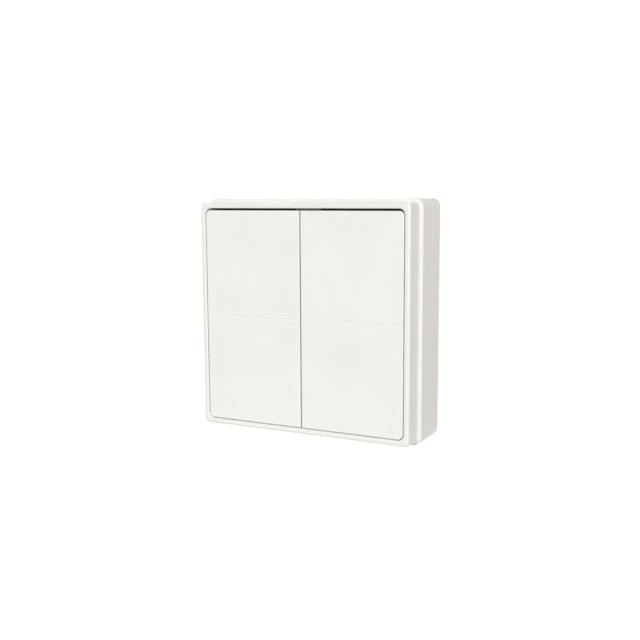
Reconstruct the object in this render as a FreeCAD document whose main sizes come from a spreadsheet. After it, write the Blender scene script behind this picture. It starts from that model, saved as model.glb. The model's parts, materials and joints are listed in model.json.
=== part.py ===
import FreeCAD, Part
import math
import os
import Sketcher

# Two-gang wireless wall switch in a square surface box. The origin is the centre of the rear
# wall face, the front looks along -Y and +Z is up. A depth is a distance from the wall.

doc = FreeCAD.newDocument("wireless_wall_switch")
sheet = doc.addObject("Spreadsheet::Sheet", "Sizes")

SIZES = [
    # Rear tray and surface box
    ("box_width", 86.0),
    ("box_corner", 3.0),
    ("box_inner_corner", 1.2),
    ("box_wall", 2.0),
    ("box_edge", 0.5),
    ("tray_depth", 8.8),
    ("tray_floor", 2.0),
    ("tray_edge", 1.0),
    ("box_depth", 9.0),
    ("seam_chamfer", 0.35),
    ("flange_thick", 1.5),
    ("flange_seat", 4.3),
    ("flange_corner", 8.0),
    # Wall fixing in the rear tray
    ("slot_spacing", 60.3),
    ("slot_width", 4.2),
    ("slot_length", 8.0),
    ("pad_length", 54.0),
    ("pad_width", 14.0),
    ("pad_thick", 1.0),
    ("pad_offset", 15.5),
    # Front frame
    ("lip_width", 1.4),
    ("frame_depth", 8.2),
    ("frame_corner", 1.3),
    ("frame_edge", 0.9),
    ("frame_border", 2.0),
    ("opening_corner", 2.2),
    ("opening_bevel", 0.8),
    ("opening_drop", 0.1),
    ("opening_edge", 0.25),
    ("catch_width", 10.0),
    ("catch_thick", 1.2),
    ("catch_reach", 1.6),
    ("catch_barb", 0.5),
    ("barb_length", 0.6),
    ("catch_play", 0.1),
    ("barb_play", 0.25),
    # Rockers
    ("top_gap", 0.8),
    ("side_gap", 0.3),
    ("bottom_gap", 0.28),
    ("seam_gap", 0.45),
    ("cap_thick", 2.0),
    ("skirt_wall", 1.5),
    ("skirt_depth", 4.5),
    ("cap_edge", 0.35),
    ("cap_inner_corner", 0.4),
    ("crease_width", 0.5),
    ("crease_depth", 0.18),
    # Rocker hinges
    ("axle_radius", 0.8),
    ("axle_setback", 4.4),
    ("hub_radius", 1.7),
    ("hub_length", 5.0),
    ("hub_inset", 12.3),
    ("hub_play", 0.05),
    ("ear_thick", 2.0),
    ("ear_play", 0.2),
    ("ear_fit", 0.01),
    ("axle_overhang", 0.3),
    ("rocker_angle", 2.0),
    # Chassis
    ("chassis_thick", 1.8),
    ("chassis_play", 0.3),
    ("notch_play", 0.5),
    ("post_inset", 3.5),
    ("post_radius", 2.6),
    # Plungers, their springs and guides
    ("plunger_inset", 11.6),
    ("stem_radius", 1.7),
    ("stem_play", 0.05),
    ("head_radius", 3.2),
    ("head_thick", 1.0),
    ("head_dome", 0.7),
    ("head_gap", 0.15),
    ("guide_radius", 3.2),
    ("guide_length", 0.9),
    ("spring_wire", 0.45),
    ("spring_radius", 2.5),
    ("spring_turns", 3.0),
    ("contact_gap", 0.12),
    ("tip_recess", 0.2),
    # Tactile switches
    ("tact_width", 6.0),
    ("tact_depth", 3.5),
    ("tact_button_radius", 1.75),
    ("tact_button_reach", 1.5),
    ("tact_button_root", 1.2),
    ("tact_button_play", 0.1),
    ("tact_travel", 0.25),
    ("tact_bore_spare", 0.25),
    # Circuit board and what it carries
    ("board_play", 1.5),
    ("board_corner", 2.0),
    ("board_thick", 1.6),
    ("radio_width", 14.0),
    ("radio_height", 20.0),
    ("radio_thick", 0.8),
    ("radio_place", 14.0),
    ("can_width", 11.0),
    ("can_depth", 2.0),
    ("can_wall", 0.2),
    ("can_drop", 3.0),
    ("antenna_radius", 1.8),
    ("antenna_wire", 0.5),
    ("antenna_turns", 8.0),
    ("antenna_length", 14.0),
    ("antenna_inset", 4.5),
    ("chip_width", 7.0),
    ("chip_thick", 0.9),
    ("chip_drop", 6.0),
    ("crystal_width", 3.2),
    ("crystal_height", 1.6),
    ("crystal_thick", 0.7),
    ("crystal_offset", 8.0),
    ("led_width", 3.0),
    ("led_height", 1.6),
    ("led_thick", 1.1),
    ("led_drop", 14.0),
    ("capacitor_width", 1.6),
    ("capacitor_height", 0.8),
    ("capacitor_thick", 0.8),
    ("capacitor_offset", 8.0),
    ("capacitor_drop", 11.0),
    # Battery
    ("cell_radius", 10.0),
    ("cell_thick", 3.2),
    ("cell_play", 0.2),
    ("cell_drop", 4.0),
    ("holder_wall", 1.8),
    ("holder_floor", 0.8),
    ("holder_rim", 0.5),
    ("contact_thick", 0.3),
    ("contact_radius", 6.0),
    ("clip_width", 6.0),
    ("clip_dimple", 2.5),
    # Screws
    ("case_screw_inset", 3.5),
    ("case_screw_rise", 22.0),
    ("case_screw_radius", 1.5),
    ("case_screw_length", 13.0),
    ("case_head_radius", 2.7),
    ("case_head_thick", 1.0),
    ("case_head_recess", 1.2),
    ("case_boss_radius", 3.2),
    ("chassis_screw_inset", 3.0),
    ("chassis_screw_radius", 1.0),
    ("chassis_screw_length", 5.0),
    ("chassis_head_radius", 1.9),
    ("chassis_head_thick", 1.0),
    ("chassis_boss_radius", 2.6),
    ("chassis_boss_length", 4.5),
    ("board_screw_radius", 0.8),
    ("board_screw_length", 6.0),
    ("board_head_radius", 1.8),
    ("board_head_thick", 1.2),
    ("screw_play", 0.2),
    ("head_play", 0.15),
    ("pilot_spare", 0.5),
    ("drive_length", 2.8),
    ("drive_width", 0.6),
    ("drive_depth", 0.6),
]

for row, (alias, value) in enumerate(SIZES, start=1):
    sheet.set("A%d" % row, alias)
    sheet.set("B%d" % row, "%g" % value)
    sheet.setAlias("B%d" % row, alias)
doc.recompute()


def number(expression):
    result = sheet.evalExpression(expression)
    return float(getattr(result, "Value", result))


# Depths and half sizes worked out from the sheet
LIP = "(Sizes.tray_depth + Sizes.box_depth)"
FLANGE_BACK = "(%s - Sizes.flange_thick)" % LIP
FRONT = "(%s + Sizes.frame_depth)" % LIP
FRAME_WIDTH = "(Sizes.box_width - 2 * Sizes.lip_width)"
OPENING = "(%s - 2 * Sizes.frame_border)" % FRAME_WIDTH
BOX_INSIDE = "(Sizes.box_width - 2 * Sizes.box_wall)"
CHASSIS_WIDTH = "(%s - 2 * Sizes.chassis_play)" % OPENING
CHASSIS_FRONT = "(%s + Sizes.chassis_thick)" % LIP
FLANGE_OPENING = "(%s - 2 * Sizes.flange_seat)" % CHASSIS_WIDTH
BOARD_WIDTH = "(%s - 2 * Sizes.board_play)" % FLANGE_OPENING
POST_PLACE = "(%s / 2 - Sizes.post_inset)" % BOARD_WIDTH
CASE_SCREW_X = "(%s / 2 - Sizes.case_screw_inset)" % BOX_INSIDE
CHASSIS_SCREW_PLACE = "(%s / 2 - Sizes.chassis_screw_inset)" % CHASSIS_WIDTH
CAP_BACK = "(%s - Sizes.cap_thick)" % FRONT
SKIRT_BACK = "(%s - Sizes.skirt_depth)" % FRONT
AXLE_DEPTH = "(%s - Sizes.axle_setback)" % FRONT
ROCKER_HEIGHT = "(%s - Sizes.top_gap - Sizes.bottom_gap)" % OPENING
ROCKER_DROP = "((Sizes.top_gap - Sizes.bottom_gap) / 2)"
ROCKER_WIDTH = "((%s - 2 * Sizes.side_gap - Sizes.seam_gap) / 2)" % OPENING
ROCKER_CENTRE = "((Sizes.seam_gap + %s) / 2)" % ROCKER_WIDTH
HUB_OFFSET = "(%s / 4 - Sizes.hub_inset)" % OPENING
PLUNGER_PLACE = "(%s / 2 - Sizes.plunger_inset)" % OPENING
PLUNGER_TRAVEL = "(%s * Sizes.rocker_angle * pi / 180)" % PLUNGER_PLACE
HEAD_FRONT = "(%s - Sizes.head_gap)" % CAP_BACK
HEAD_BACK = "(%s - Sizes.head_thick)" % HEAD_FRONT
CATCH_OUTSIDE = "(%s / 2 - Sizes.catch_play)" % OPENING
CATCH_FRONT = "(%s + Sizes.catch_reach)" % LIP
BARB_BACK = "(%s - Sizes.barb_length)" % CATCH_FRONT
HOLDER_RADIUS = "(Sizes.cell_radius + Sizes.cell_play + Sizes.holder_wall)"

# The plunger's tip stops just short of the button when the rocker is fully pressed, and the
# posts that carry the board are as long as that stack needs.
TACT_STACK = "(Sizes.tact_depth + Sizes.tact_button_reach + Sizes.contact_gap)"
TIP_REST = "(%s - Sizes.tip_recess)" % LIP
BOARD_FRONT = "(%s - %s - %s)" % (TIP_REST, PLUNGER_TRAVEL, TACT_STACK)
BOARD_BACK = "(%s - Sizes.board_thick)" % BOARD_FRONT
HOLDER_BACK = "(%s - Sizes.holder_floor - Sizes.contact_thick - Sizes.cell_thick)" % BOARD_BACK

SIDES = (("left", "-"), ("right", ""))
ENDS = (("lower", "-"), ("upper", ""))
QUARTERS = [(x, z) for _, x in SIDES for _, z in ENDS]
TINY = 1e-4
RUNS_PER_TURN = 16
MITRED = 1


# Sketches on the origin planes of each body

def new_sketch(body, name, plane, x, y, offset):
    sketch = body.newObject("Sketcher::SketchObject", name)
    planes = {feature.Role: feature for feature in body.Origin.OriginFeatures}
    sketch.AttachmentSupport = (planes[plane], "")
    sketch.MapMode = "FlatFace"
    for axis, expression in zip("xyz", (x, y, offset)):
        if expression != "0":
            sketch.setExpression("AttachmentOffset.Base." + axis, expression)
    return sketch


def bind(sketch, constraint, expression):
    index = sketch.addConstraint(constraint)
    sketch.setExpression("Constraints[%d]" % index, expression)


def place_point(sketch, item, point, x, y):
    if abs(number(x)) < TINY:
        sketch.addConstraint(Sketcher.Constraint("PointOnObject", item, point, -2))
    else:
        bind(sketch, Sketcher.Constraint("DistanceX", -1, 1, item, point, number(x)), x)
    if abs(number(y)) < TINY:
        sketch.addConstraint(Sketcher.Constraint("PointOnObject", item, point, -1))
    else:
        bind(sketch, Sketcher.Constraint("DistanceY", -1, 1, item, point, number(y)), y)


def circles(body, name, offset, radius, centres, plane="XZ_Plane"):
    sketch = new_sketch(body, name, plane, "0", "0", offset)
    for x, y in centres:
        centre = FreeCAD.Vector(number(x), number(y), 0)
        shape = Part.Circle(centre, FreeCAD.Vector(0, 0, 1), number(radius))
        item = sketch.addGeometry(shape, False)
        bind(sketch, Sketcher.Constraint("Radius", item, number(radius)), radius)
        place_point(sketch, item, 3, x, y)
    return sketch


def rectangles(body, name, offset, width, height, centres, plane="XZ_Plane"):
    sketch = new_sketch(body, name, plane, "0", "0", offset)
    half_w = number(width) / 2
    half_h = number(height) / 2
    for x, y in centres:
        cx = number(x)
        cy = number(y)
        corners = [
            FreeCAD.Vector(cx - half_w, cy - half_h, 0),
            FreeCAD.Vector(cx + half_w, cy - half_h, 0),
            FreeCAD.Vector(cx + half_w, cy + half_h, 0),
            FreeCAD.Vector(cx - half_w, cy + half_h, 0),
        ]
        first = sketch.GeometryCount
        for index in range(4):
            line = Part.LineSegment(corners[index], corners[(index + 1) % 4])
            sketch.addGeometry(line, False)
        for index in range(4):
            following = first + (index + 1) % 4
            sketch.addConstraint(Sketcher.Constraint("Coincident", first + index, 2, following, 1))
        for index in (0, 2):
            sketch.addConstraint(Sketcher.Constraint("Horizontal", first + index))
            sketch.addConstraint(Sketcher.Constraint("Vertical", first + index + 1))
        bind(sketch, Sketcher.Constraint("DistanceX", first, 1, first, 2, 2 * half_w), width)
        bind(sketch, Sketcher.Constraint("DistanceY", first + 1, 1, first + 1, 2, 2 * half_h), height)
        place_point(sketch, first, 1, "(%s) - (%s) / 2" % (x, width), "(%s) - (%s) / 2" % (y, height))
    return sketch


def rounded_square(body, name, offset, width, radius, height=None):
    # A plate outline about the sketch's centre, four sides joined by four corner arcs
    height = height or width
    sketch = new_sketch(body, name, "XZ_Plane", "0", "0", offset)
    half_w = number(width) / 2
    half_h = number(height) / 2
    r = number(radius)
    sides = [
        ((-half_w + r, -half_h), (half_w - r, -half_h)),
        ((half_w, -half_h + r), (half_w, half_h - r)),
        ((half_w - r, half_h), (-half_w + r, half_h)),
        ((-half_w, half_h - r), (-half_w, -half_h + r)),
    ]
    middles = [
        (half_w - r, -half_h + r, -45),
        (half_w - r, half_h - r, 45),
        (-half_w + r, half_h - r, 135),
        (-half_w + r, -half_h + r, 225),
    ]
    for start, end in sides:
        line = Part.LineSegment(FreeCAD.Vector(*start, 0), FreeCAD.Vector(*end, 0))
        sketch.addGeometry(line, False)
    for x, y, bearing in middles:
        full = Part.Circle(FreeCAD.Vector(x, y, 0), FreeCAD.Vector(0, 0, 1), r)
        low = FreeCAD.Units.Quantity("%g deg" % (bearing - 45)).getValueAs("rad").Value
        high = FreeCAD.Units.Quantity("%g deg" % (bearing + 45)).getValueAs("rad").Value
        sketch.addGeometry(Part.ArcOfCircle(full, low, high), False)
    for index in range(4):
        arc = 4 + index
        sketch.addConstraint(Sketcher.Constraint("Tangent", index, 2, arc, 1))
        sketch.addConstraint(Sketcher.Constraint("Tangent", arc, 2, (index + 1) % 4, 1))
    for index in (1, 2, 3):
        sketch.addConstraint(Sketcher.Constraint("Equal", 4, 4 + index))
    sketch.addConstraint(Sketcher.Constraint("Horizontal", 0))
    sketch.addConstraint(Sketcher.Constraint("Vertical", 1))
    bind(sketch, Sketcher.Constraint("Radius", 4, r), radius)
    bind(sketch, Sketcher.Constraint("DistanceX", 6, 3, 5, 3, 2 * (half_w - r)),
         "(%s) - 2 * (%s)" % (width, radius))
    bind(sketch, Sketcher.Constraint("DistanceY", 4, 3, 5, 3, 2 * (half_h - r)),
         "(%s) - 2 * (%s)" % (height, radius))
    place_point(sketch, 5, 3, "(%s) / 2 - (%s)" % (width, radius),
                "(%s) / 2 - (%s)" % (height, radius))
    return sketch


def slots(body, name, offset, width, length, centres, upright):
    # Round-ended slots: two arcs joined by two straight sides
    sketch = new_sketch(body, name, "XZ_Plane", "0", "0", offset)
    r = number(width) / 2
    half = number(length) / 2 - r
    along = FreeCAD.Vector(0, 1, 0) if upright else FreeCAD.Vector(1, 0, 0)
    across = FreeCAD.Vector(-along.y, along.x, 0)
    turn = 90 if upright else 0
    reach = "((%s) / 2 - (%s) / 2)" % (length, width)
    for x, y in centres:
        centre = FreeCAD.Vector(number(x), number(y), 0)
        first = sketch.GeometryCount
        for sign, bearing in ((1, 0), (-1, 180)):
            full = Part.Circle(centre + along * half * sign, FreeCAD.Vector(0, 0, 1), r)
            low = FreeCAD.Units.Quantity("%g deg" % (turn + bearing - 90)).getValueAs("rad").Value
            high = FreeCAD.Units.Quantity("%g deg" % (turn + bearing + 90)).getValueAs("rad").Value
            sketch.addGeometry(Part.ArcOfCircle(full, low, high), False)
        for sign in (1, -1):
            start = centre + along * half * sign + across * r * sign
            end = centre - along * half * sign + across * r * sign
            sketch.addGeometry(Part.LineSegment(start, end), False)
        sketch.addConstraint(Sketcher.Constraint("Tangent", first, 2, first + 2, 1))
        sketch.addConstraint(Sketcher.Constraint("Tangent", first + 2, 2, first + 1, 1))
        sketch.addConstraint(Sketcher.Constraint("Tangent", first + 1, 2, first + 3, 1))
        sketch.addConstraint(Sketcher.Constraint("Tangent", first + 3, 2, first, 1))
        bind(sketch, Sketcher.Constraint("Radius", first, r), "(%s) / 2" % width)
        if upright:
            place_point(sketch, first, 3, x, "(%s) + %s" % (y, reach))
            place_point(sketch, first + 1, 3, x, "(%s) - %s" % (y, reach))
        else:
            place_point(sketch, first, 3, "(%s) + %s" % (x, reach), y)
            place_point(sketch, first + 1, 3, "(%s) - %s" % (x, reach), y)
    return sketch


def triangle(body, name, points, offset):
    # A closed three-point outline on the side plane, for a notch cut along X
    sketch = new_sketch(body, name, "YZ_Plane", "0", "0", offset)
    corners = [FreeCAD.Vector(number(x), number(y), 0) for x, y in points]
    for index in range(3):
        line = Part.LineSegment(corners[index], corners[(index + 1) % 3])
        sketch.addGeometry(line, False)
    for index in range(3):
        sketch.addConstraint(Sketcher.Constraint("Coincident", index, 2, (index + 1) % 3, 1))
        place_point(sketch, index, 1, *points[index])
    return sketch


# Features

def new_body(label):
    body = doc.addObject("PartDesign::Body", label)
    body.Label = label
    return body


def pad(body, sketch, length):
    # Material from the sketch towards the front, or towards +X for a side sketch
    feature = body.newObject("PartDesign::Pad", "Pad")
    feature.Profile = sketch
    feature.setExpression("Length", length)
    return feature


def pocket(body, sketch, length):
    # A cut from the sketch towards the wall, or towards -X for a side sketch
    doc.recompute()
    before = body.Shape.Volume
    feature = body.newObject("PartDesign::Pocket", "Pocket")
    feature.Profile = sketch
    feature.setExpression("Length", length)
    doc.recompute()
    if body.Shape.Volume > before - TINY:
        raise ValueError("a pocket of %s cuts nothing" % body.Label)
    return feature


def dress_edges(body, kind, amount, chosen):
    doc.recompute()
    base = body.Tip
    names = []
    for index, edge in enumerate(base.Shape.Edges, start=1):
        if chosen(edge.BoundBox):
            names.append("Edge%d" % index)
    if not names:
        raise ValueError("no edge of %s was chosen" % body.Label)
    feature = body.newObject("PartDesign::" + kind, kind)
    feature.Base = (base, names)
    feature.setExpression("Radius" if kind == "Fillet" else "Size", amount)
    return feature


def at_depth(box, depth):
    return abs(box.YMin + number(depth)) < TINY and abs(box.YMax + number(depth)) < TINY


def reach_of(box):
    return max(abs(box.XMin), abs(box.XMax), abs(box.ZMin), abs(box.ZMax))


def on_outline(width, corner):
    # True for the edges of an outline, its corner arcs among them
    inner = number(width) / 2 - number(corner) - TINY
    return lambda box: reach_of(box) > inner


def along_depth(box):
    return box.XLength < TINY and box.ZLength < TINY and box.YLength > TINY


def quartet(x, z):
    return [("%s%s" % (sx, x), "%s%s" % (sz, z)) for sx, sz in QUARTERS]


def mirrored_group(label, source, planes):
    # Identical pieces set out by mirroring one of them about the part's middle planes
    group = [source]
    for name in planes:
        copies = []
        for item in group:
            copy = doc.addObject("Part::Mirroring", label + "_copy")
            copy.Source = item
            copy.Normal = FreeCAD.Vector(1, 0, 0) if name == "x" else FreeCAD.Vector(0, 0, 1)
            copies.append(copy)
        group = group + copies
    compound = doc.addObject("Part::Compound", label)
    compound.Links = group
    compound.Label = label
    return compound


nodes = []


# Rear tray: a shallow moulding whose floor lies on the wall

def make_rear_tray():
    body = new_body("rear_tray")
    pad(body, rounded_square(body, "Outline", "0", "Sizes.box_width", "Sizes.box_corner"),
        "Sizes.tray_depth")
    outline = on_outline("Sizes.box_width", "Sizes.box_corner")
    dress_edges(body, "Fillet", "Sizes.tray_edge",
                lambda box: at_depth(box, "0") and outline(box))
    dress_edges(body, "Chamfer", "Sizes.seam_chamfer",
                lambda box: at_depth(box, "Sizes.tray_depth") and outline(box))
    pocket(body, rounded_square(body, "Inside", "Sizes.tray_depth", BOX_INSIDE,
                                "Sizes.box_inner_corner"),
           "Sizes.tray_depth - Sizes.tray_floor")
    screws = quartet(CASE_SCREW_X, "Sizes.case_screw_rise")
    pad(body, circles(body, "Posts", "Sizes.tray_floor", "Sizes.case_boss_radius", screws),
        "Sizes.tray_depth - Sizes.tray_floor")
    pocket(body, circles(body, "ScrewHoles", "Sizes.tray_depth",
                         "Sizes.case_screw_radius + Sizes.screw_play", screws),
           "Sizes.tray_depth")
    pocket(body, circles(body, "HeadRecesses", "Sizes.case_head_recess",
                         "Sizes.case_head_radius + Sizes.head_play", screws),
           "Sizes.case_head_recess")
    half = "Sizes.slot_spacing / 2"
    level = [("-" + half, "0"), (half, "0")]
    plumb = [("0", "-" + half), ("0", half)]
    for name, centres, upright in (("LevelSlots", level, False), ("PlumbSlots", plumb, True)):
        pocket(body, slots(body, name, "Sizes.tray_floor", "Sizes.slot_width",
                           "Sizes.slot_length", centres, upright), "Sizes.tray_floor")
    pads = [("0", "-Sizes.pad_offset"), ("0", "Sizes.pad_offset")]
    pocket(body, rectangles(body, "PadRecesses", "Sizes.pad_thick", "Sizes.pad_length",
                            "Sizes.pad_width", pads), "Sizes.pad_thick")
    nodes.append(body)


# Foam tape pads, flush with the wall face in their recesses

def make_tape_pads():
    body = new_body("tape_pad")
    pad(body, rectangles(body, "Strip", "0", "Sizes.pad_length - 2 * Sizes.head_play",
                         "Sizes.pad_width - 2 * Sizes.head_play",
                         [("0", "Sizes.pad_offset")]), "Sizes.pad_thick")
    nodes.append(mirrored_group("tape_pads", body, "z"))


# Surface box: the wider body behind the frame, whose front rim shows as a lip

def make_surface_box():
    body = new_body("surface_box")
    pad(body, rounded_square(body, "Outline", "Sizes.tray_depth", "Sizes.box_width",
                             "Sizes.box_corner"), "Sizes.box_depth")
    outline = on_outline("Sizes.box_width", "Sizes.box_corner")
    dress_edges(body, "Fillet", "Sizes.box_edge",
                lambda box: at_depth(box, LIP) and outline(box))
    pocket(body, rounded_square(body, "Inside", FLANGE_BACK, BOX_INSIDE,
                                "Sizes.box_inner_corner"),
           "Sizes.box_depth - Sizes.flange_thick")
    pocket(body, rounded_square(body, "FlangeOpening", LIP, FLANGE_OPENING,
                                "Sizes.flange_corner"), "Sizes.flange_thick")
    case_screws = quartet(CASE_SCREW_X, "Sizes.case_screw_rise")
    pad(body, circles(body, "CaseBosses", "Sizes.tray_depth", "Sizes.case_boss_radius",
                      case_screws), "Sizes.box_depth - Sizes.flange_thick")
    pilot = "(Sizes.case_screw_length + Sizes.pilot_spare)"
    pilot_end = "(Sizes.case_head_recess + %s)" % pilot
    pocket(body, circles(body, "CasePilots", pilot_end, "Sizes.case_screw_radius",
                         case_screws), "%s - Sizes.tray_depth" % pilot_end)
    chassis_screws = quartet(CHASSIS_SCREW_PLACE, CHASSIS_SCREW_PLACE)
    pad(body, circles(body, "ChassisBosses", "%s - Sizes.chassis_boss_length" % FLANGE_BACK,
                      "Sizes.chassis_boss_radius", chassis_screws),
        "Sizes.chassis_boss_length")
    pocket(body, circles(body, "ChassisPilots", LIP, "Sizes.chassis_screw_radius",
                         chassis_screws), "Sizes.chassis_screw_length")
    catches = [("0", "%s(%s - Sizes.catch_thick / 2)" % (sign, CATCH_OUTSIDE)) for _, sign in ENDS]
    pad(body, rectangles(body, "Catches", LIP, "Sizes.catch_width", "Sizes.catch_thick",
                         catches), "Sizes.catch_reach")
    barbs = [("0", "%s(%s + Sizes.catch_barb / 2 - Sizes.catch_thick / 2)" % (sign, CATCH_OUTSIDE))
             for _, sign in ENDS]
    pad(body, rectangles(body, "Barbs", BARB_BACK, "Sizes.catch_width",
                         "Sizes.catch_thick + Sizes.catch_barb", barbs), "Sizes.barb_length")
    nodes.append(body)


# Front frame: the narrow border round the rockers

def make_front_frame():
    body = new_body("front_frame")
    pad(body, rounded_square(body, "Outline", LIP, FRAME_WIDTH, "Sizes.frame_corner"),
        "Sizes.frame_depth")
    outline = on_outline(FRAME_WIDTH, "Sizes.frame_corner")
    dress_edges(body, "Fillet", "Sizes.frame_edge",
                lambda box: at_depth(box, FRONT) and outline(box))
    pocket(body, rounded_square(body, "Opening", FRONT, OPENING, "Sizes.opening_corner"),
           "Sizes.frame_depth")
    inner = number(OPENING) / 2 + TINY
    bevel = dress_edges(body, "Chamfer", "Sizes.opening_bevel",
                        lambda box: at_depth(box, FRONT) and reach_of(box) < inner)
    bevel.ChamferType = "Two distances"
    bevel.setExpression("Size2", "Sizes.opening_drop")
    bevel_foot = FRONT + " - Sizes.opening_drop"
    dress_edges(body, "Fillet", "Sizes.opening_edge",
                lambda box: at_depth(box, bevel_foot) and reach_of(box) < inner)
    groove_reach = "(Sizes.catch_barb - Sizes.catch_play + Sizes.barb_play)"
    grooves = [("0", "%s(%s / 2 + %s / 2 - Sizes.barb_play / 2)" % (sign, OPENING, groove_reach))
               for _, sign in ENDS]
    pocket(body, rectangles(body, "Grooves", "%s + Sizes.barb_play" % CATCH_FRONT,
                            "Sizes.catch_width + 2 * Sizes.barb_play",
                            "%s + Sizes.barb_play" % groove_reach, grooves),
           "Sizes.barb_length + 2 * Sizes.barb_play")
    nodes.append(body)


# Chassis: the dark plate that carries the rockers, the plungers and the circuit board

def make_chassis():
    body = new_body("chassis")
    pad(body, rounded_square(body, "Plate", LIP, CHASSIS_WIDTH,
                             "Sizes.opening_corner - Sizes.chassis_play"), "Sizes.chassis_thick")
    notch_height = "(Sizes.catch_thick + Sizes.notch_play + Sizes.chassis_play)"
    notches = [("0", "%s(%s / 2 - %s / 2)" % (sign, OPENING, notch_height)) for _, sign in ENDS]
    pocket(body, rectangles(body, "Notches", CHASSIS_FRONT,
                            "Sizes.catch_width + 2 * Sizes.notch_play", notch_height, notches),
           "Sizes.chassis_thick")
    posts = quartet(POST_PLACE, POST_PLACE)
    pad(body, circles(body, "Posts", BOARD_FRONT, "Sizes.post_radius", posts),
        "%s - %s" % (LIP, BOARD_FRONT))
    pilot_end = "(%s + Sizes.board_screw_length - Sizes.board_thick + Sizes.pilot_spare)" % BOARD_FRONT
    pocket(body, circles(body, "PostPilots", pilot_end, "Sizes.board_screw_radius", posts),
           "%s - %s" % (pilot_end, BOARD_FRONT))
    screws = quartet(CHASSIS_SCREW_PLACE, CHASSIS_SCREW_PLACE)
    pocket(body, circles(body, "ScrewHoles", CHASSIS_FRONT,
                         "Sizes.chassis_screw_radius + Sizes.head_play", screws),
           "Sizes.chassis_thick")
    pocket(body, circles(body, "HeadRecesses", CHASSIS_FRONT,
                         "Sizes.chassis_head_radius + Sizes.head_play", screws),
           "Sizes.chassis_head_thick + Sizes.head_play")
    guides = quartet(ROCKER_CENTRE, PLUNGER_PLACE)
    pad(body, circles(body, "Guides", "%s - Sizes.guide_length" % LIP, "Sizes.guide_radius",
                      guides), "Sizes.guide_length")
    pocket(body, circles(body, "GuideBores", CHASSIS_FRONT,
                         "Sizes.stem_radius + Sizes.stem_play", guides),
           "Sizes.chassis_thick + Sizes.guide_length")
    inner_ear = "(%s + Sizes.hub_length + Sizes.ear_play)" % HUB_OFFSET
    starts = []
    for _, side in SIDES:
        starts.append("(%s%s + %s)" % (side, ROCKER_CENTRE, inner_ear))
        starts.append("(%s%s - %s - Sizes.ear_thick)" % (side, ROCKER_CENTRE, inner_ear))
    rise = "(%s - %s)" % (AXLE_DEPTH, CHASSIS_FRONT)
    foot = [("-(%s - %s / 2)" % (AXLE_DEPTH, rise), "0")]
    axis = [("-" + AXLE_DEPTH, "0")]
    for start in starts:
        pad(body, rectangles(body, "EarFoot", start, rise, "2 * Sizes.hub_radius", foot,
                             "YZ_Plane"), "Sizes.ear_thick")
        pad(body, circles(body, "EarEye", start, "Sizes.hub_radius", axis, "YZ_Plane"),
            "Sizes.ear_thick")
    for start in starts:
        pocket(body, circles(body, "EarHole", start + " + Sizes.ear_thick",
                             "Sizes.axle_radius + Sizes.ear_fit", axis, "YZ_Plane"),
               "Sizes.ear_thick")
    nodes.append(body)


# Rockers: one tall key each side, with a skirt, two hinge hubs and a fine centre crease

def make_rocker(name, side):
    body = new_body("rocker_" + name)
    centre = side + ROCKER_CENTRE
    middle = [(centre, "-" + ROCKER_DROP)]
    pad(body, rectangles(body, "Cap", SKIRT_BACK, ROCKER_WIDTH, ROCKER_HEIGHT, middle),
        "Sizes.skirt_depth")
    seam = number("Sizes.seam_gap") / 2 + TINY
    dress_edges(body, "Fillet", "Sizes.opening_corner - Sizes.side_gap",
                lambda box: along_depth(box) and max(abs(box.XMin), abs(box.XMax)) > seam)
    dress_edges(body, "Fillet", "Sizes.cap_inner_corner",
                lambda box: along_depth(box) and max(abs(box.XMin), abs(box.XMax)) < seam)
    dress_edges(body, "Fillet", "Sizes.cap_edge", lambda box: at_depth(box, FRONT))
    pocket(body, rectangles(body, "Hollow", CAP_BACK, ROCKER_WIDTH + " - 2 * Sizes.skirt_wall",
                            ROCKER_HEIGHT + " - 2 * Sizes.skirt_wall", middle),
           "Sizes.skirt_depth - Sizes.cap_thick")
    axis = [("-" + AXLE_DEPTH, "0")]
    web = "(%s - %s)" % (CAP_BACK, AXLE_DEPTH)
    web_place = [("-(%s + %s / 2)" % (AXLE_DEPTH, web), "0")]
    starts = [
        "(%s + %s)" % (centre, HUB_OFFSET),
        "(%s - %s - Sizes.hub_length)" % (centre, HUB_OFFSET),
    ]
    for start in starts:
        pad(body, rectangles(body, "HubWeb", start, web, "2 * Sizes.hub_radius", web_place,
                             "YZ_Plane"), "Sizes.hub_length")
        pad(body, circles(body, "Hub", start, "Sizes.hub_radius", axis, "YZ_Plane"),
            "Sizes.hub_length")
    for start in starts:
        pocket(body, circles(body, "HubBore", start + " + Sizes.hub_length",
                             "Sizes.axle_radius + Sizes.hub_play", axis, "YZ_Plane"),
               "Sizes.hub_length")
    edge = "(%s + %s / 2)" % (centre, ROCKER_WIDTH)
    notch = [
        ("-%s - Sizes.crease_depth" % FRONT, "-Sizes.crease_width"),
        ("-%s + Sizes.crease_depth" % FRONT, "0"),
        ("-%s - Sizes.crease_depth" % FRONT, "Sizes.crease_width"),
    ]
    pocket(body, triangle(body, "Crease", notch, edge), ROCKER_WIDTH)
    nodes.append(body)


def make_axle(name, side):
    body = new_body("axle_" + name)
    half = ("(%s + Sizes.hub_length + Sizes.ear_play + Sizes.ear_thick"
            " + Sizes.axle_overhang)" % HUB_OFFSET)
    start = "(%s%s - %s)" % (side, ROCKER_CENTRE, half)
    pad(body, circles(body, "Pin", start, "Sizes.axle_radius", [("-" + AXLE_DEPTH, "0")],
                      "YZ_Plane"), "2 * %s" % half)
    nodes.append(body)


# Plungers: sprung pins that hold each rocker level and press its tactile switches

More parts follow.
